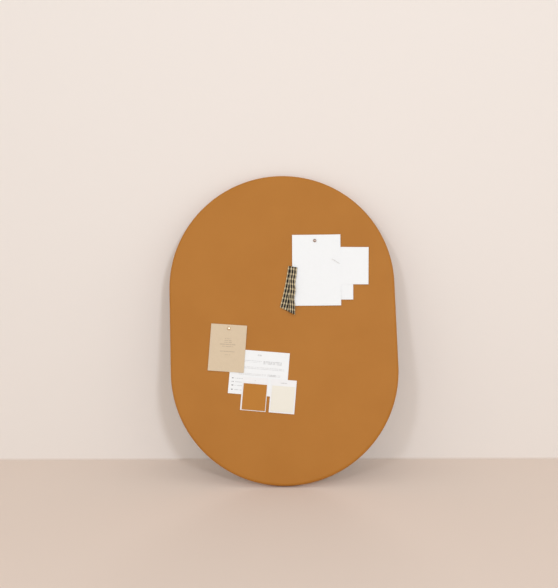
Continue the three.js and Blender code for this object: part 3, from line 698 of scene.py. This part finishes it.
# %% Leaves
def leaf(front, back):
    """Two grids of points, rows upwards and columns to the right, joined round their edges by walls."""
    rows, columns = front.shape[:2]
    count = rows * columns
    index = np.arange(count).reshape(rows, columns)
    edge = np.concatenate([index[0, :-1], index[:-1, -1], index[-1, :0:-1], index[:0:-1, 0]])
    ahead = np.roll(edge, -1)
    front_faces = grid_faces(rows, columns)
    walls = np.stack([edge, edge + count, ahead + count, ahead], axis=1)
    points = np.concatenate([front.reshape(-1, 3), back.reshape(-1, 3)])
    return points, np.concatenate([front_faces, front_faces[:, ::-1] + count, walls])


def set_by_turn(across, up, depth, centre, clockwise):
    """Turns a sheet's own across and up, in mm, clockwise as seen from the front, and moves them to its
    centre. The depth is in mm from the wall."""
    a = math.radians(clockwise)
    x = centre[0] + (across * math.cos(a) + up * math.sin(a)) * MM
    z = centre[1] + (up * math.cos(a) - across * math.sin(a)) * MM
    return np.stack([x, -np.broadcast_to(depth, x.shape) * MM, z], axis=-1)


def leaf_over(solid, across, up, clockwise, rise=0):
    """A leaf in a flat solid's place and as thick: the grids at its back and front depths, plus the rise."""
    return leaf(*[set_by_turn(across, up, rise - y / MM, middle(solid), clockwise)
                  for y in front_and_back(solid)])


def corner_lift(across, up, width, height, lifts):
    """Each lifted corner adds its lift times the square of one minus the distance to the corner over
    its reach. The distance is measured slantwise, as across plus up, so the paper bends on a slant."""
    rise = np.zeros(across.shape)
    for (side, end), (lift, reach) in lifts.items():
        distance = width / 2 - side * across + height / 2 - end * up
        rise += lift * np.clip(1 - distance / reach, 0, 1) ** 2
    return rise


def width_and_height(node_name, clockwise):
    """Sides in mm of a turned rectangle, from its box: the box is as wide as the width times
    the turn's cosine plus the height times its sine, and as high the other way about."""
    low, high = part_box(node_name)
    c, s = math.cos(math.radians(clockwise)), math.sin(math.radians(clockwise))
    box_width, box_height = (high.x - low.x) / MM, (high.z - low.z) / MM
    stretch = c * c - s * s
    return (box_width * c - box_height * s) / stretch, (box_height * c - box_width * s) / stretch


def paper(node_name, name, body, slot, finish, clockwise, lifts=None, bars=()):
    """A leaf in place of a flat solid, with its ink in an attribute. A bar is a printed line: left,
    right, bottom and top in mm from the middle, and how dark it is. Grid lines lie on the bars' edges."""
    width, height = width_and_height(node_name, clockwise)
    across_marks = [edge for bar in bars for edge in bar[:2]]
    up_marks = [edge for bar in bars for edge in bar[2:4]]
    across = np.unique(np.concatenate([np.linspace(-width / 2, width / 2, 25), across_marks]))
    up = np.unique(np.concatenate([np.linspace(-height / 2, height / 2, 33), up_marks]))
    across_grid, up_grid = np.meshgrid(across, up)
    rise = corner_lift(across_grid, up_grid, width, height, lifts or {})
    points, faces = leaf_over(node_name, across_grid, up_grid, clockwise, rise)
    uv = np.stack([across_grid, up_grid], axis=-1).reshape(-1, 2) * MM
    sheet = make_piece(name, points, faces, body, slot, finish, [node_name], uv=np.concatenate([uv, uv]))
    middles = [(a[:-1] + a[1:]) / 2 for a in (across, up)]
    across_middle, up_middle = np.meshgrid(*middles)
    ink = np.zeros(across_middle.shape)
    for left, right, bottom, top, dark in bars:
        inside = (across_middle > left) & (across_middle < right) & (up_middle > bottom) & (up_middle < top)
        ink[inside] = dark
    shade = np.zeros(len(faces))
    shade[:ink.size] = ink.ravel()
    sheet.data.attributes.new("ink", "FLOAT", "FACE").data.foreach_set("value", shade.astype(np.float32))
    return sheet


# %% [markdown]
# ## Paper, card and print
# Uncoated paper is made of pressed fibre: matt, nearly white, with a cloudy look and a faint tooth. Kraft
# card is brown and flecked. Print darkens the paper where the ink attribute says so. The lines carry no
# words: a stepped noise along each line breaks it into pieces the length of words.

# %% Paper materials
CLOUD, TOOTH, FLECK = 9 * MM, 0.9 * MM, 1.6 * MM
WORD, LINE = 3.2 * MM, 12 * MM


def pulp(name, colour, darker, ink_colour, fleck=0.0):
    """Pressed fibre of one colour, cloudy towards a darker one, with printed bars and flecks."""
    made, shader = material(name, Roughness=0.82, IOR=1.5)
    flat = node(made, "UVMap", uv_map="UVMap").outputs["UV"]
    where = on_object(made)
    tone = blend(made, noise(made, where, CLOUD, 5, 0.6), darker, colour)
    specks = remap(made, noise(made, where, FLECK, 2), 0.62, 0.7, 0, fleck)
    flecked = blend(made, specks, tone, ink_colour)
    ink = node(made, "Attribute", attribute_name="ink").outputs["Fac"]
    words = node(made, "Mapping", {"Vector": flat, "Scale": (1 / WORD, 1 / LINE, 1)}).outputs["Vector"]
    breaks = node(made, "TexNoise", {"Vector": words, "Scale": 1.0, "Detail": 0},
                  noise_dimensions="2D").outputs["Fac"]
    printed = maths(made, "MULTIPLY", ink, remap(made, breaks, 0.36, 0.42, 0.25, 1))
    tooth = noise(made, where, TOOTH, 3)
    feed(made, shader, Base_Color=blend(made, printed, flecked, ink_colour),
         Normal=relief(made, tooth, 0.12, 0.05 * MM))
    return made


WHITE_PAPER = pulp("uncoated white paper, calendered", "f4f4f2", "f0f0ed", "5d5752")
WHITE_CARD = pulp("white card, uncoated board", "f3f1ee", "efedea", "6a625a")
KRAFT = pulp("pale kraft card, unbleached pulp", "ddc8aa", "d5bf9f", "94806c", fleck=0.2)

# %% White sheets
LOW_RIGHT, LOW_LEFT, TOP_RIGHT, TOP_LEFT = (1, -1), (-1, -1), (1, 1), (-1, 1)
WHITE_SHEETS = {
    "low": ("lower", 2.2, {LOW_RIGHT: (2.4, 60), LOW_LEFT: (0.6, 40)}),
    "side": ("side", 2.8, {TOP_RIGHT: (2.2, 70), LOW_RIGHT: (2.8, 70)}),
    "front": ("front", 1.6, {
        TOP_LEFT: (1.0, 50), TOP_RIGHT: (2.0, 70), LOW_LEFT: (1.5, 60), LOW_RIGHT: (2.6, 80)}),
}
for solid_end, (place, clockwise, lifts) in WHITE_SHEETS.items():
    paper("white_sheet_" + solid_end, place + "_white_sheet", "board", "white_paper", WHITE_PAPER,
          clockwise, lifts)

# %% [markdown]
# ## Printed sheet and kraft card
# Both carry print that is too small to read in a picture. It is drawn as bars: a heading and rows on the
# printed sheet with a short list at the lower left, and a centred block on the kraft card.

# %% Printed sheet and kraft card
heading = [(-8, 4, 52, 57, 0.3)]
light_rows = [(-62, 6, 35.4, 37, 0.3), (-62, 6, 31, 32.4, 0.2), (-62, 76, 16, 17.6, 0.3),
              (-62, 76, 12, 13.6, 0.3), (-62, 66, -4.4, -2.8, 0.26), (-62, 66, -8.1, -6.5, 0.26)]
dark_rows = [(11, 68, 35.5, 37.3, 0.45), (11, 68, 32.1, 33.9, 0.45), (11, 68, 28.7, 30.5, 0.4),
             (26, 52, -4.4, -2.4, 0.45), (26, 52, -8.1, -6.1, 0.4)]
short_list = [(-81, -75, up, up + 3.4, 0.7) for up in (-22, -33, -44, -57)]
short_list += [(-71, -40, up + 0.4, up + 2.4, 0.35) for up in (-22, -33, -44, -57)]
paper("printed_sheet", "printed_white_sheet", "board", "white_paper", WHITE_PAPER, 6.5,
      {TOP_RIGHT: (2.2, 50), LOW_LEFT: (1.0, 25)}, heading + light_rows + dark_rows + short_list)
block = [(29, 10, 0.45), (23.2, 11, 0.4), (17.2, 12, 0.45), (11.2, 24, 0.5), (4.8, 17, 0.4), (-10.5, 23, 0.4),
         (-20.5, 9, 0.25)]
paper("kraft_card", "kraft_note_card", "kraft", "kraft_card", KRAFT, 5.7,
      {LOW_RIGHT: (0.8, 35), LOW_LEFT: (0.9, 35), TOP_RIGHT: (0.6, 25)},
      [(-half, half, up - 1.1, up + 1.1, dark) for up, half, dark in block])

# %% [markdown]
# ## Sample cards
# Two small cards each carry a square of the cover cloth, one in the board's own tan and one in cream. The
# square is cut with a knife, so its edges are crisp but a little crushed, which a small Bevel gives.

# %% Cards and their samples
CARD_TURN, SAMPLE_WIDTH, SAMPLE_HEIGHT = 6.5, 69, 77.5


def sample_square(node_name, name, body, slot, finish, fuller):
    """A flat leaf of cloth in place of its solid, with a small bevel along its cut edges. A fuller one
    goes that much farther to the right and down than the solid, in mm."""
    across, up = np.meshgrid(
        np.linspace(-SAMPLE_WIDTH / 2, SAMPLE_WIDTH / 2 + fuller, 12),
        np.linspace(-SAMPLE_HEIGHT / 2 - fuller, SAMPLE_HEIGHT / 2, 13))
    square = make_piece(name, *leaf_over(node_name, across, up, CARD_TURN), body, slot, finish, [node_name])
    finished(square, "BEVEL", width=0.3 * MM, segments=3, limit_method="ANGLE", angle_limit=math.radians(50))


TAN_SAMPLE = coated_cloth("tan polyurethane cloth, embossed, freshly cut", "bb7b2b", "b87828", 0.58)
for tone_name, finish, fuller in (("tan", TAN_SAMPLE, 2.5), ("cream", CREAM, 0)):
    body = tone_name + "_sample"
    note = [(-10, 10, 39, 41, 0.35)] if tone_name == "cream" else []
    paper(body + "_card", tone_name + "_mount_card", body, "white_card", WHITE_CARD, CARD_TURN, bars=note)
    sample_square(body + "_square", tone_name + "_cloth_square", body, tone_name + "_leather", finish, fuller)

# %% [markdown]
# ## Gingham strip
# A strip of cotton gingham is laid in a Z pleat under its pin. At the foot it is open and the layers part,
# so the pleat shows as a dark slanting groove. The middle line of the cloth runs right, turns back on a half
# circle, turns again and ends on top. The pleat is flat under the pin and opens on the way down, and the
# free edges bow inwards as a cut edge does where nothing holds it. A simulation would settle such a small
# strip much the same, but not with its pleat in this place, so it is worked out.

# %% Shape of the pleat
STRIP_TURN, CLOTH_WIDTH, COTTON, CLOTH_AREA = 12.0, 75.0, 0.6, 0.0104
LEFT_LENGTH, RIGHT_LENGTH, ABOVE_PIN, STRIP_DEPTH = 131, 147, 5, 31.45
FLAT_PLEAT, OPEN_PLEAT = 1.7, 4.6
HALF_TOP, TOP_LEFT_EDGE, TOP_FOLD = 12.5, -15.5, -10.5
FOOT_LEFT, FOOT_TUCK, FOOT_FOLD, FOOT_RIGHT = -18.2, 21.0, 12.0, 32.1
LEFT_BOW, RIGHT_BOW = 2.2, -3.6
RIPPLE, RIPPLE_START, RIPPLE_PITCH = 0.45, 0.3, 0.37
UNDER_SWELL, TOP_SWELL, EDGE_DROP = 0.9, 1.1, 0.6


def pleat_line(share):
    """Across and rise of the cloth's middle line, at a share of its length: the under layer, a half
    circle, the middle layer, a half circle and the top layer. Each edge moves evenly from its place at the
    pin to its place at the foot. The outer ones add half a sine for a bow, and the right one's bow is times
    one plus a cosine. The pleat's height grows with the share, and so do one swell in the under layer and
    three in the top one, which also drops by the square of the way to its free edge."""
    s = share[:, None]
    height = FLAT_PLEAT + (OPEN_PLEAT - FLAT_PLEAT) * smoothstep(0.08, 0.5, s)
    bend = height / 2
    arch = np.sin(math.pi * s)
    left = s * (FOOT_LEFT - TOP_LEFT_EDGE) + TOP_LEFT_EDGE + LEFT_BOW * arch
    tuck = s * (FOOT_TUCK - HALF_TOP) + HALF_TOP - bend
    fold = s * (FOOT_FOLD - TOP_FOLD) + TOP_FOLD + bend
    scallop = 1 + RIPPLE * np.cos(2 * math.pi * (s - RIPPLE_START) / RIPPLE_PITCH)
    right = s * (FOOT_RIGHT - HALF_TOP) + HALF_TOP + RIGHT_BOW * arch * scallop
    part = np.linspace(0, 1, 25)[:-1]
    turn = np.radians(np.linspace(-90, 90, 13))
    between = np.linspace(0, 1, 15)[1:-1]
    top = np.linspace(0, 1, 34)[1:]
    gather = UNDER_SWELL * s * (1 - np.cos(2 * math.pi * part)) / 2
    drop = (height + EDGE_DROP) * smoothstep(0.1, 0.9, s) * top ** 2
    billow = TOP_SWELL * s * np.sin(3 * math.pi * top) ** 2 - drop
    across = [left + (tuck - left) * part, tuck + bend * np.cos(turn), tuck + (fold - tuck) * between,
              fold - bend * np.cos(turn), fold + (right - fold) * top]
    rise = [gather, bend + bend * np.sin(turn), height + 0 * s * between,
            height + bend + bend * np.sin(turn), 2 * height + billow]
    return np.concatenate(across, axis=1), np.concatenate(rise, axis=1)


# %% Lay the strip out in rows
share = np.linspace(1, 0, 90)
across, rise = pleat_line(share)
steps = np.hypot(np.diff(across, axis=1), np.diff(rise, axis=1))
run = np.concatenate([np.zeros((len(share), 1)), np.cumsum(steps, axis=1)], axis=1)
cloth_share = run / run[:, -1:]
slope = np.stack([-np.gradient(rise, axis=1), np.gradient(across, axis=1)], axis=-1)
slope /= np.linalg.norm(slope, axis=-1, keepdims=True)
spread = (across - across[:, :1]) / (across[:, -1:] - across[:, :1])
length = LEFT_LENGTH + (RIGHT_LENGTH - LEFT_LENGTH) * spread
up = ABOVE_PIN - length * share[:, None]
faces_of_cloth = []
for side in (1, -1):
    depth = STRIP_DEPTH + rise + COTTON / 2 + side * slope[..., 1] * COTTON / 2
    sideways = across + side * slope[..., 0] * COTTON / 2
    faces_of_cloth.append(set_by_turn(sideways, up, depth, middle("gingham_pin"), STRIP_TURN))
cloth_uv = np.stack([cloth_share * CLOTH_WIDTH + 0.3, -up], axis=-1).reshape(-1, 2) * MM

# %% [markdown]
# Where both threads are black it is black, where one is, grey, and where none is, cream. The warp is the
# denser way, so its stripes are the darker ones. The weave is drawn coarser than real, at one yarn to 0.7
# mm: two crossed sine waves that lift over and under in turn.

# %% Woven cotton gingham
CHECKS = {"X": (8 * MM, 0.8), "Y": (15.6 * MM, 0.45)}  # length and weight of the check, each way
PALE_SHARE, YARN = 0.37, 0.7 * MM


def gingham(name, black, cream):
    """Plain-woven check: a square wave along each way of the cloth, dark for 0.63 of its length. Their
    weighted sum is the share of the black."""
    made, shader = material(name, Roughness=0.9, IOR=1.5, Sheen_Weight=0.15, Sheen_Roughness=0.5)
    flat = node(made, "UVMap", uv_map="UVMap").outputs["UV"]
    ways = node(made, "SeparateXYZ", {"Vector": flat})
    stripes = []
    for way, (check, weight) in CHECKS.items():
        part = maths(made, "FRACT", maths(made, "MULTIPLY", ways.outputs[way], 1 / check))
        stripes.append(maths(made, "MULTIPLY", maths(made, "GREATER_THAN", part, PALE_SHARE), weight))
    waves = [
        maths(made, "SINE", maths(made, "MULTIPLY", ways.outputs[way], math.pi / YARN)) for way in CHECKS]
    feed(made, shader, Base_Color=blend(made, maths(made, "ADD", *stripes), cream, black),
         Normal=relief(made, maths(made, "MULTIPLY", *waves), 0.5, 0.1 * MM))
    return made


GINGHAM = gingham("cotton gingham, plain woven", "150d08", "dcc89e")
strip = make_piece(
    "pleated_gingham", *leaf(*faces_of_cloth), "gingham", "gingham", GINGHAM, ["gingham_strip"],
    uv=np.concatenate([cloth_uv, cloth_uv]), crease=70)
print("cloth across the strip", np.round(run[[0, -1], -1], 1).tolist(), "mm at the foot and at the pin")

# %% [markdown]
# ## Tacks and pins
# A tack has a pressed domed head with a hollow under it and a boss that grips the needle. A slim pin has a
# ball-like head upset on the wire and a ground point. The long one stands slanting, with a
# little over a third of it in the board.

# %% Tacks
TACK_RADIUS, TACK_RIM, TACK_RISE = 5.2, 0.7, 2.7
dome = np.radians(np.linspace(90, 0, 15))
head_profile = np.concatenate([
    np.stack([TACK_RADIUS * np.cos(dome), -TACK_RIM - TACK_RISE * np.sin(dome)], axis=1),
    [[TACK_RADIUS, -0.15], [5.1, 0], [4.55, 0], [4.4, -0.12], [1.6, -1.6], [1.5, -0.1], [1.4, 0], [0.62, 0],
     [0.6, -1.7], [0, -1.7]]])
needle_profile = np.array([
    [0, -1.65], [0.5, -1.65], [0.55, -1.6], [0.55, 9.0], [0.42, 10.2], [0.2, 11.5], [0.05, 11.95], [0, 12]])
# The sheet tack takes the metal with painted shade, the card tack the one with a painted reflection.
for tack, metal in (("sheet_tack", TACK_METAL_WITH_PAINTED_SHADE), ("card_tack", TACK_METAL_WITH_PAINTED_REFLECTION)):
    seat_y = front_and_back(tack + "_head")[0] + (TACK_RIM + TACK_RISE) * MM
    turned_piece(tack + "_dome", head_profile, seat_y, TOWARDS_WALL, 64,
                 tack, "tack_metal", metal, tack + "_head")
    turned_piece(tack + "_point", needle_profile, seat_y, TOWARDS_WALL, 24,
                 tack, "steel", STEEL, tack + "_needle")


# %% Slim pins
PIN_HEAD, PIN_WIRE, PIN_POINT, PIN_SIDES = 1.3, 0.4, 2.5, 24


def pin_profile(length):
    """A rounded head of 2 mm, a wire of 0.8 mm and a ground point of 2.5 mm."""
    return np.array([
        [0, -PIN_HEAD], [0.45, -1.25], [0.8, -1.05], [0.97, -0.75], [0.97, -0.5], [0.8, -0.2], [0.45, 0],
        [PIN_WIRE, 0.1], [PIN_WIRE, length - PIN_POINT], [0.3, length - 1.6], [0.12, length - 0.4],
        [0, length]])


TILT, FALL, LONG = math.radians(20), math.radians(31.5), 52
LONG_WAY = np.array([math.cos(TILT) * math.cos(FALL), math.sin(TILT), -math.cos(TILT) * math.sin(FALL)])
UPRIGHT_PINS = {"gingham_pin": "strip_pin", "tan_sample_pin": "tan_pin", "cream_sample_pin": "cream_pin"}
for solid_name, body in UPRIGHT_PINS.items():
    front, back = front_and_back(solid_name)
    turned_piece("fine_" + solid_name, pin_profile((back - front) / MM - PIN_HEAD), front + PIN_HEAD * MM,
                 TOWARDS_WALL, PIN_SIDES, body, "steel", STEEL, solid_name)
low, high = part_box("slanted_pin")
long_seat = np.array([high.x, high.y, low.z]) - LONG_WAY * LONG * MM
shape = turned(pin_profile(LONG), long_seat, LONG_WAY, PIN_SIDES)
make_piece("long_slanted_pin", *welded(*shape), "long_pin", "steel", STEEL, ["slanted_pin"])

# %% [markdown]
# ## Studio
# In the picture the board leans back against a pale wall and stands on a pale floor. The shared frame keeps
# the board upright, so here it is the room that is turned about the board. Its floor goes through the lowest
# point of the cover and its wall touches whatever reaches farthest back. The wall lets light and rear views
# through, so that the back can be looked at too. Two soft boxes stand in front, the right one stronger, as
# the picture's double shadow shows, and a low lamp behind lights the back.

# %% Turn the room
def turn(degrees, axis):
    """The 3 by 3 matrix that turns about a named axis."""
    return np.array(Matrix.Rotation(math.radians(degrees), 3, axis))


LEAN, ROLL = 15, 1.55
ROOM = turn(ROLL, "Y") @ turn(LEAN, "X")  # columns: to the right, to the wall and up


def reach(way):
    """How far the pieces go along a direction: the largest dot product of a vertex with it."""
    farthest = []
    for piece in (item for item in bpy.data.objects if item.type == "MESH" and not item.hide_render):
        places = np.empty(3 * len(piece.data.vertices))
        piece.data.vertices.foreach_get("co", places)
        turned_places = places.reshape(-1, 3) @ np.array(piece.matrix_world.to_3x3()).T
        farthest.append((turned_places + np.array(piece.matrix_world.translation)) @ way)
    return max(far.max() for far in farthest)


FLOOR_HEIGHT, WALL_DEPTH = -reach(-ROOM[:, 2]), reach(ROOM[:, 1])
print("floor", round(FLOOR_HEIGHT, 4), "m and wall", round(WALL_DEPTH, 4), "m from the origin")


def in_room(x, depth, height):
    """A place given from the foot of the wall: x to the right, depth into the wall, height over the floor."""
    return np.stack(np.broadcast_arrays(x, depth + WALL_DEPTH, height + FLOOR_HEIGHT), axis=-1) @ ROOM.T


# %% Floor and wall
PAINT_LINE, PAINT_EDGE = 0.005, 0.003


def plain_backdrop(name, wall, floor):
    """Matt paint that is one colour above the floor and another on it. From behind, and for shadows, the
    paint is clear."""
    made, _ = material(name, Roughness=0.95)
    height = node(made, "VectorMath", {0: on_object(made), 1: ROOM[:, 2].tolist()},
                  operation="DOT_PRODUCT").outputs["Value"]
    line = FLOOR_HEIGHT + PAINT_LINE
    tone = blend(made, remap(made, height, line - PAINT_EDGE, line + PAINT_EDGE), floor, wall)
    paint = node(made, "BsdfDiffuse", {"Color": tone}).outputs["BSDF"]
    clear = node(made, "BsdfTransparent").outputs["BSDF"]
    behind = node(made, "NewGeometry").outputs["Backfacing"]
    shadow = node(made, "LightPath").outputs["Is Shadow Ray"]
    both = node(made, "MixShader", {0: maths(made, "MAXIMUM", behind, shadow), 1: paint, 2: clear})
    feed(made, made.node_tree.nodes["Material Output"], Surface=both.outputs["Shader"])
    return made


COVE = 0.008
bend = np.radians(np.linspace(-90, 0, 7))
path_depth = np.concatenate([[-4.5, -2.0, -0.6], COVE * (np.cos(bend) - 1), [0, 0]])
path_height = np.concatenate([[0, 0, 0], COVE * (np.sin(bend) + 1), [1.4, 4.0]])
across = np.linspace(-4.5, 4.5, 7)
points = in_room(across[None, :], path_depth[:, None], path_height[:, None])
mesh = bpy.data.meshes.new("backdrop")
mesh.from_pydata(points.reshape(-1, 3).tolist(), [], grid_faces(len(path_depth), len(across)).tolist())
mesh.shade_smooth()
mesh.materials.append(plain_backdrop("matt paint on wall and floor", "ede4db", "decdbf"))
backdrop = in_scene("backdrop", mesh)
upwards = float(np.dot(mesh.polygons[0].normal, ROOM[:, 2]))
print("floor's normal along the room's way up", round(upwards, 3))


# %% Lamps and world
def soft_lamp(name, place, target, size, power, colour):
    """A round area lamp at a place in the room, turned so that it looks at another."""
    lamp = in_scene(name, bpy.data.lights.new(name, "AREA"))
    lamp.data.shape = "DISK"
    lamp.data.size = size
    lamp.data.energy = power
    lamp.data.color = linear(colour)[:3]
    aim(lamp, in_room(*place), in_room(*target) - in_room(*place), np.array([0, 0, 1.0]))


soft_lamp("left_softbox", (-1.6, -4.5, 2.4), (0, -0.15, 0.5), 0.6, 34, "e6f0ff")
soft_lamp("right_softbox", (1.45, -4.5, 2.4), (0, -0.15, 0.5), 0.6, 58, "e6f0ff")
soft_lamp("room_behind", (0.1, 2.2, 0.5), (0, 0, 0.5), 1.0, 32, "f2f8ff")
world = bpy.data.worlds.new("soft room")
bpy.context.scene.world = world
world.use_nodes = True
sky = world.node_tree.nodes["Background"]
sky.inputs["Color"].default_value = linear("f9f8f6")
sky.inputs["Strength"].default_value = 0.81
bpy.context.scene.view_settings.view_transform = "Standard"
